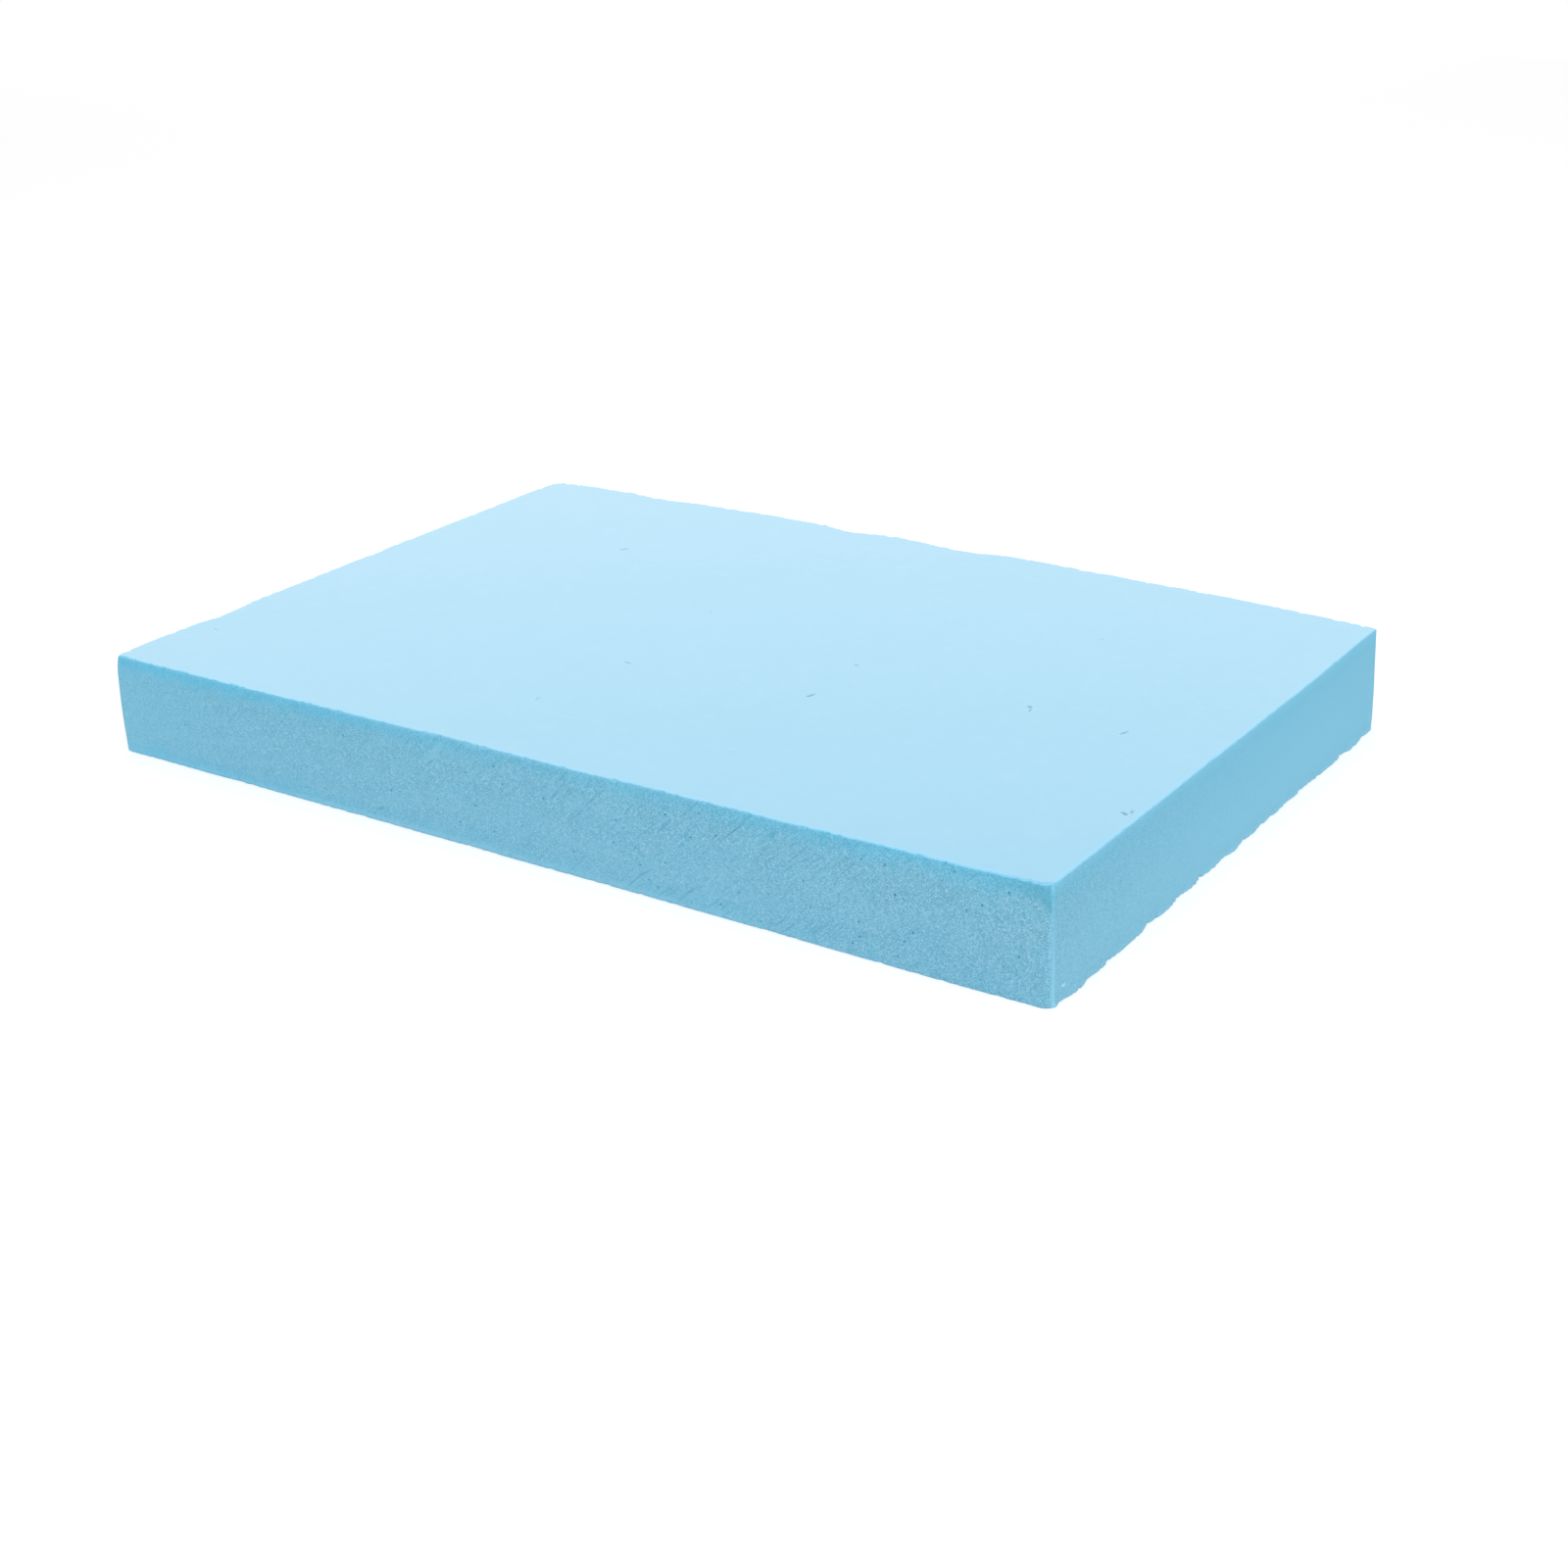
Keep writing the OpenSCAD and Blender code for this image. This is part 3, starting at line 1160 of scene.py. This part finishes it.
    def sides(self, columns: Columns, outline: Outline) -> np.ndarray:
        """Works out the sawn sides.

        Each place is the outline at its height, drawn in round the softened edges, and moved
        square to its side by the waviness of the cut and the ragged edges. What is drawn in
        stays mitred at the corners: a corner goes in along its diagonal, and the columns
        near it slide along their side by the share of their way to the corner.

        Args:
            columns: the grid's columns.
            outline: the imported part's outline.

        Returns:
            Places by row and column.
        """
        height, inset = self.heights(columns)
        plan = self.ease_levels(outline.at(height), height)
        outward = outward_of(plan)
        forward = np.stack([-outward[..., 1], outward[..., 0]], axis=-1)
        from_start, from_end = (
            np.clip(1 - gap / self.corner_reach, 0, 1) for gap in columns.from_corner()
        )
        at_corner = columns.share == 0
        slide = np.where(at_corner, 0, from_start - from_end) * inset
        drawn_in = np.where(at_corner, sqrt(2), 1) * inset
        moved = self.waviness(columns, height)[..., None] * columns.square()
        moved = moved - drawn_in[..., None] * outward + slide[..., None] * forward
        return np.concatenate([plan + moved, height[..., None]], axis=-1)

    @staticmethod
    def ease_levels(plan: np.ndarray, height: np.ndarray) -> np.ndarray:
        """Eases the creases that the levels leave, away from the chipped edges.

        Each pass gives a place half of its own value and a quarter of each neighbour's,
        up and down.

        Args:
            plan: places in plan, by row and column.
            height: their heights.

        Returns:
            The eased places.
        """
        passes, chips, ease = 12, 5.0, 3.0
        share = fade((height - chips) / ease) * fade((THICK - chips / 2 - height) / ease)
        for _ in range(passes):
            mean = plan.copy()
            mean[1:-1] = (plan[:-2] + 2 * plan[1:-1] + plan[2:]) / 4
            plan = plan + (mean - plan) * share[..., None]
        return plan

    def waviness(self, columns: Columns, height: np.ndarray) -> np.ndarray:
        """How far the saw's hand wandered, and how far the edges are torn.

        Three layers of smooth noise move the whole side. Near each edge, faceted noise in
        two sizes bites into it, and leaves burrs between the bites, except at the corners.

        Args:
            columns: the grid's columns.
            height: the heights of the rows.

        Returns:
            Distances outward, by row and column.
        """
        along = np.broadcast_to(columns.along(), height.shape)
        moved = np.zeros(height.shape)
        for size, tall, far, seed in ((14, 10, 0.05, 1), (5, 6, 0.04, 2), (2.2, 3, 0.02, 3)):
            laps = round(LAP / size)
            moved += far * ripple(along * laps / LAP, height / tall, laps, seed)
        burr_and_highlight, whole, finer_share, finer_seed = 0.2, 1.5, 0.6, 9
        torn = fade(np.minimum(*columns.from_corner()) / whole)
        for name, from_edge, reach, tear, seed in (
            ("ragged_foot", height, 2.5, 1.3, 4),
            ("ragged_top", THICK - height, 1.2, 1.3, 5),
        ):
            laps, tall = round(LAP / tear), height / tear
            bite = ripple(along * laps / LAP, tall, laps, seed, crisp=True)
            finer = ripple(along * 2 * laps / LAP, tall, 2 * laps, seed + finer_seed, crisp=True)
            bite = np.clip(bite + finer_share * finer, 0, 1) - burr_and_highlight
            moved -= torn * columns.trait(name) * bite * fade(1 - from_edge / reach)
        return moved

    def side_marks(self, columns: Columns, places: np.ndarray) -> dict[str, np.ndarray]:
        """Works out what the sawn finish reads at each point of the sides.

        Args:
            columns: the grid's columns.
            places: the points, by row and column.

        Returns:
            Each mark's name and its values.
        """
        above, below = places[..., 2], THICK - places[..., 2]
        along = np.broadcast_to(columns.along(), below.shape)
        dense = {}
        for name, depth, start, reach, uneven, seed in (
            ("rind", below, 0.8, self.rind_reach, 0.3, 21),
            ("foot_rind", above, 0.5, self.foot_reach, 0.5, 22),
        ):
            end = reach * (1 + uneven * self.band_noise(along, 5, seed))
            dense[name] = columns.trait(name) * (1 - fade((depth - start) / end))
        # Widths of the bands of painted light along the edges and of its thin lines along the
        # arrises.
        top_band, foot_band, top_line, foot_line, foot_line_place = 2, 1, 0.7, 0.8, 1.1
        band = bell(below, top_band) + bell(above, foot_band)
        arris_highlight = bell(below, top_line) + bell(above - foot_line_place, foot_line)
        # Painted light in bands along both long edges.
        painted_light = columns.trait("edge_light") * band
        painted_light = painted_light + columns.trait("side_arris_highlight") * arris_highlight
        # Painted light from the floor: paler towards the foot.
        painted_light = painted_light + columns.trait("foot_bounce_light") * (1 - fade(above / THICK))
        opened = np.broadcast_to(columns.trait("open_cells"), below.shape)
        crushed = np.zeros(below.shape)
        for number, cut in enumerate(CUTS):
            # The corner's pale line is a painted highlight, laid on with the rest of the painted
            # light.
            pale, pressed, closed = self.corner_marks(cut, columns.past(number), below)
            painted_light, crushed, opened = painted_light + pale, crushed + pressed, opened * (1 - closed)
        closed_rind, least_toothed = 0.35, 0.4
        opened = opened * (1 - closed_rind * np.maximum(dense["rind"], dense["foot_rind"]))
        # The teeth show less over a band a little below the middle.
        upper, upper_ease, lower, lower_ease = 14, 8, 3, 6
        outer = np.maximum(fade((above - upper) / upper_ease), 1 - fade((above - lower) / lower_ease))
        toothed = columns.trait("toothed") * (least_toothed + (1 - least_toothed) * outer)
        marks = {
            "open_cells": opened,
            "toothed": toothed,
            **dense,
            "crushed": crushed,
            "painted_light": painted_light,
        }
        return {name: np.clip(values, 0, 1).ravel() for name, values in marks.items()}

    @staticmethod
    def corner_marks(
        cut: SawCut, past: np.ndarray, below: np.ndarray
    ) -> tuple[np.ndarray, np.ndarray, np.ndarray]:
        """Works out what handling left on one upright corner, and its painted highlight.

        A painted highlight line runs up just past it, with a bell's shape across. Before it, the
        board is pressed in under the top edge: how deep and how hard fall off as e to the power
        of minus the distance from the corner. The cells are closed along both.

        Args:
            cut: the saw cut of the side that starts at the corner.
            past: how far past the corner each column is.
            below: how far below the top face each point is.

        Returns:
            How far each point is paled by the painted highlight, crushed and closed, each from 0 to
            1.
        """
        start, ease, place, width, half_band, band_ease = 4, 10, 0.9, 0.35, 0.2, 0.4
        paleness, line_closed, press_closed = 0.35, 0.7, 0.8
        line = cut.corner_highlight * fade((below - start) / ease)
        # The pale line is a painted highlight up the corner.
        pale = paleness * line * bell(past - place, width)
        smooth = line_closed * line * (1 - fade((np.abs(past - place) - half_band) / band_ease))
        shallow, deeper, deep_length = 1, 4.5, 3.5
        least, harder, hard_length, whole_length = 0.1, 0.62, 11, 40
        lower_ease, slack, corner_ease = 3, 0.1, 0.6
        short = np.clip(-past, 0, None)
        depth = shallow + deeper * np.exp(-short / deep_length)
        most = (least + harder * np.exp(-short / hard_length)) * (1 - fade(short / whole_length))
        pressed = cut.corner_crush * most * (1 - fade((below - depth) / lower_ease))
        pressed = pressed * (1 - fade((past + slack) / corner_ease))
        return pale, pressed, np.clip(smooth + press_closed * pressed, 0, 1)

    @staticmethod
    def band_noise(along: np.ndarray, size: float, seed: int) -> np.ndarray:
        """Smooth noise round the block, from -1 to 1, with lobes about size long."""
        laps = round(LAP / size)
        return ripple(along * laps / LAP, np.zeros(along.shape), laps, seed)

    def face(self, edge: np.ndarray, top: bool) -> tuple[np.ndarray, np.ndarray]:
        """Fills one face inside its edge.

        Narrow strips follow the edge, and inside them a lattice covers the face, with finer
        patches round the nicks. All of them are joined by Delaunay's triangles.

        Args:
            edge: the points of the face's edge.
            top: whether it is the upper face, which has the nicks.

        Returns:
            The points inside the edge, and the triangles, numbered with the edge first.
        """
        outward = outward_of(edge[None, :, :2])[0]
        strips = [edge[:, :2] - reach * outward for reach in self.rims]
        spans = [
            np.linspace(low, high, round((high - low) / self.face_pitch) + 1)
            for low, high in zip(LOW[:2] + self.face_margin, HIGH[:2] - self.face_margin)
        ]
        inside = [*strips, np.stack(np.meshgrid(*spans), axis=-1).reshape(-1, 2)]
        if top:
            inside += [nick.patch(self.nick_pitch, self.nick_margin) for nick in NICKS]
        inner = np.concatenate(inside)
        known = np.concatenate([edge[:, :2], inner])
        hull = [list(range(len(edge)))]
        inside_only, same_place = 1, 1e-6
        _, _, faces, origins, _, _ = delaunay_2d_cdt(
            [Vector(point) for point in known], [], hull, inside_only, same_place
        )
        first = np.array([origin[0] for origin in origins])
        triangles = first[np.array(faces)]
        corner_a, corner_b, corner_c = (known[triangles[:, k]] for k in range(3))
        area = np.cross(corner_b - corner_a, corner_c - corner_a)
        wrong = (area > 0) != top
        triangles[wrong] = triangles[wrong][:, ::-1]
        height = np.full(len(inner), THICK if top else 0.0)
        if top:
            height -= sum(nick.depth * nick.hollow(inner) for nick in NICKS)
        return np.column_stack([inner, height]), triangles

    @staticmethod
    def nick_mark(points: np.ndarray, name: str) -> np.ndarray:
        """Works out how far the nicks mark each point of the top face.

        Args:
            points: the points.
            name: nick_shade, which darkens with painted shade, or burr_and_highlight, which pales
                with a painted highlight.

        Returns:
            Values from 0 to 1.
        """
        shape = {"nick_shade": Nick.hollow, "burr_and_highlight": Nick.lip}[name]
        marks = [getattr(nick, name) * shape(nick, points[:, :2]) for nick in NICKS]
        return np.clip(sum(marks), 0, 1)

    def dress(self, mesh: bpy.types.Mesh, side_faces: int, count: int) -> None:
        """Gives the mesh its finishes and its smooth shading.

        The sawn finish covers the sides up to half way round the top edge, and from half
        way round the bottom edge. The skin covers the rest.

        Args:
            mesh: the block's mesh.
            side_faces: how many of its faces belong to the sides' grid.
            count: how many columns that grid has.
        """
        mesh.materials.append(self.skin.material())
        mesh.materials.append(self.sawn.material())
        slots = np.zeros(len(mesh.polygons), np.int32)
        strips = side_faces // count
        row = np.arange(side_faces) // count
        sawn = (row >= self.edge_rows // 2) & (row < strips - self.edge_rows // 2)
        slots[:side_faces] = sawn
        mesh.polygons.foreach_set("material_index", slots)
        mesh.polygons.foreach_set("use_smooth", np.ones(len(mesh.polygons), bool))
        mesh.update()


# --- The studio --------------------------------------------------------------------------


@dataclass(frozen=True)
class Studio:
    """A white floor in white surroundings, with soft light, and the camera.

    Lengths are in metres, angles in degrees and lamp powers in watts.

    Attributes:
        floor_half: half the width of the floor.
        floor_glow: how much of what the camera sees of the floor is its own white.
        glow_strength: how bright that white is, where 1 is plain white.
        air: how bright the surroundings are as a light.
        look_at: what the camera is aimed at, as shares of the half box from its centre.
        azimuth: how far round from -Y towards +X the camera stands.
        elevation: how high it stands.
        roll: how far it is turned about its own axis.
        distance: how far it is from what it is aimed at.
        lens: its focal length, in millimetres.
    """

    floor_half: float = 1.6
    floor_glow: float = 0.5
    glow_strength: float = 1.22
    air: float = 0.3
    look_at: tuple[float, float, float] = (0.3072, -0.5147, -0.0055)
    azimuth: float = 34.46
    elevation: float = 23.34
    roll: float = -1.5
    distance: float = 0.6203
    lens: float = 55.304

    def build(self) -> None:
        """Sets up the floor, the world, the lamps, the camera and the colour handling."""
        self.floor()
        self.surroundings()
        self.lamp("overhead", (0, 0, 1.5), (1.0, 1.0), 6.6)
        self.lamp("front", (0.2, -2.0, 1.3), (1.5, 1.5), 24)
        self.lamp("right", (2.0, -0.3, 1.3), (1.5, 1.5), 20.3)
        self.lamp("backdrop", (-1.2, 1.7, 0.9), (3.0, 1.9), 15.5, mirrored=True)
        self.camera()
        bpy.context.scene.view_settings.view_transform = "Standard"

    @staticmethod
    def seen_rays(tree: Tree) -> Socket:
        """Tells the rays that show a surface, straight or mirrored, from those that light.

        Args:
            tree: the nodes of the floor or the world.

        Returns:
            A value of 1 for the first and 0 for the others.
        """
        path = add_node(tree, "LightPath")
        seen = path.outputs["Is Camera Ray"]
        for way in ("Is Glossy Ray", "Is Transmission Ray"):
            inputs = {0: seen, 1: path.outputs[way]}
            seen = add_node(tree, "Math", inputs, operation="MAXIMUM").outputs[0]
        return seen

    def floor(self) -> None:
        """Lays the floor: matt white, with part of its seen white its own."""
        half = self.floor_half
        corners = [(-half, -half, 0), (half, -half, 0), (half, half, 0), (-half, half, 0)]
        mesh = bpy.data.meshes.new("floor")
        mesh.from_pydata(corners, [], [(0, 1, 2, 3)])
        made = bpy.data.materials.new("white_sweep")
        tree = emptied(made)
        inputs = {0: self.seen_rays(tree), 1: self.floor_glow}
        share = add_node(tree, "Math", inputs, operation="MULTIPLY")
        matt = add_node(tree, "BsdfDiffuse", {"Color": linear("#fafafa")})
        inputs = {"Color": linear("#ffffff"), "Strength": self.glow_strength}
        glow = add_node(tree, "Emission", inputs)
        inputs = {0: share.outputs[0], 1: matt.outputs[0], 2: glow.outputs[0]}
        both = add_node(tree, "MixShader", inputs)
        add_node(tree, "OutputMaterial", {"Surface": both.outputs[0]})
        mesh.materials.append(made)
        floor = bpy.data.objects.new("floor", mesh)
        bpy.context.scene.collection.objects.link(floor)

    def surroundings(self) -> None:
        """Makes the surroundings white to the eye and dimmer as a light."""
        world = bpy.data.worlds.new("white_room")
        tree = emptied(world)
        inputs = {"Value": self.seen_rays(tree), "To Min": self.air, "To Max": 1.0}
        strength = add_node(tree, "MapRange", inputs)
        inputs = {"Color": linear("#ffffff"), "Strength": strength.outputs["Result"]}
        sky = add_node(tree, "Background", inputs)
        add_node(tree, "OutputWorld", {"Surface": sky.outputs[0]})
        bpy.context.scene.world = world

    @staticmethod
    def lamp(
        name: str,
        place: tuple[float, float, float],
        size: tuple[float, float],
        power: float,
        mirrored: bool = False,
    ) -> None:
        """Hangs a soft lamp that faces the block.

        Args:
            name: the lamp's name.
            place: where it hangs.
            size: its width and its height.
            power: its power.
            mirrored: whether a glossy face shows it.
        """
        data = bpy.data.lights.new(name, "AREA")
        data.shape = "RECTANGLE"
        data.size, data.size_y = size
        data.energy = power
        lamp = bpy.data.objects.new(name, data)
        aim = Vector(place) - Vector(CENTRE * MM)
        turn = aim.to_track_quat("Z", "Y").to_matrix().to_4x4()
        lamp.matrix_world = Matrix.Translation(place) @ turn
        lamp.visible_glossy = mirrored
        bpy.context.scene.collection.objects.link(lamp)

    def camera(self) -> None:
        """Stands the camera."""
        azimuth, elevation = radians(self.azimuth), radians(self.elevation)
        level = cos(elevation)
        back = Vector((sin(azimuth) * level, -cos(azimuth) * level, sin(elevation)))
        target = Vector((CENTRE + np.array(self.look_at) * HALF) * MM)
        data = bpy.data.cameras.new("camera")
        data.lens = self.lens
        camera = bpy.data.objects.new("camera", data)
        camera.matrix_world = (
            Matrix.Translation(target + back * self.distance)
            @ back.to_track_quat("Z", "Y").to_matrix().to_4x4()
            @ Matrix.Rotation(radians(self.roll), 4, "Z")
        )
        bpy.context.scene.collection.objects.link(camera)
        bpy.context.scene.camera = camera


def main() -> None:
    """Builds the studio and the block."""
    logging.basicConfig(level=logging.INFO, format="%(message)s")
    Studio().build()
    block = HandCutBlock(ExtrudedSkin(), SawnCells()).build()
    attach(block, BODY)
    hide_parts(NODE)
    triangles = sum(len(polygon.vertices) - 2 for polygon in block.data.polygons)
    log.info("%s: %d points, %d triangles", block.name, len(block.data.vertices), triangles)


if __name__ == "__main__":
    main()
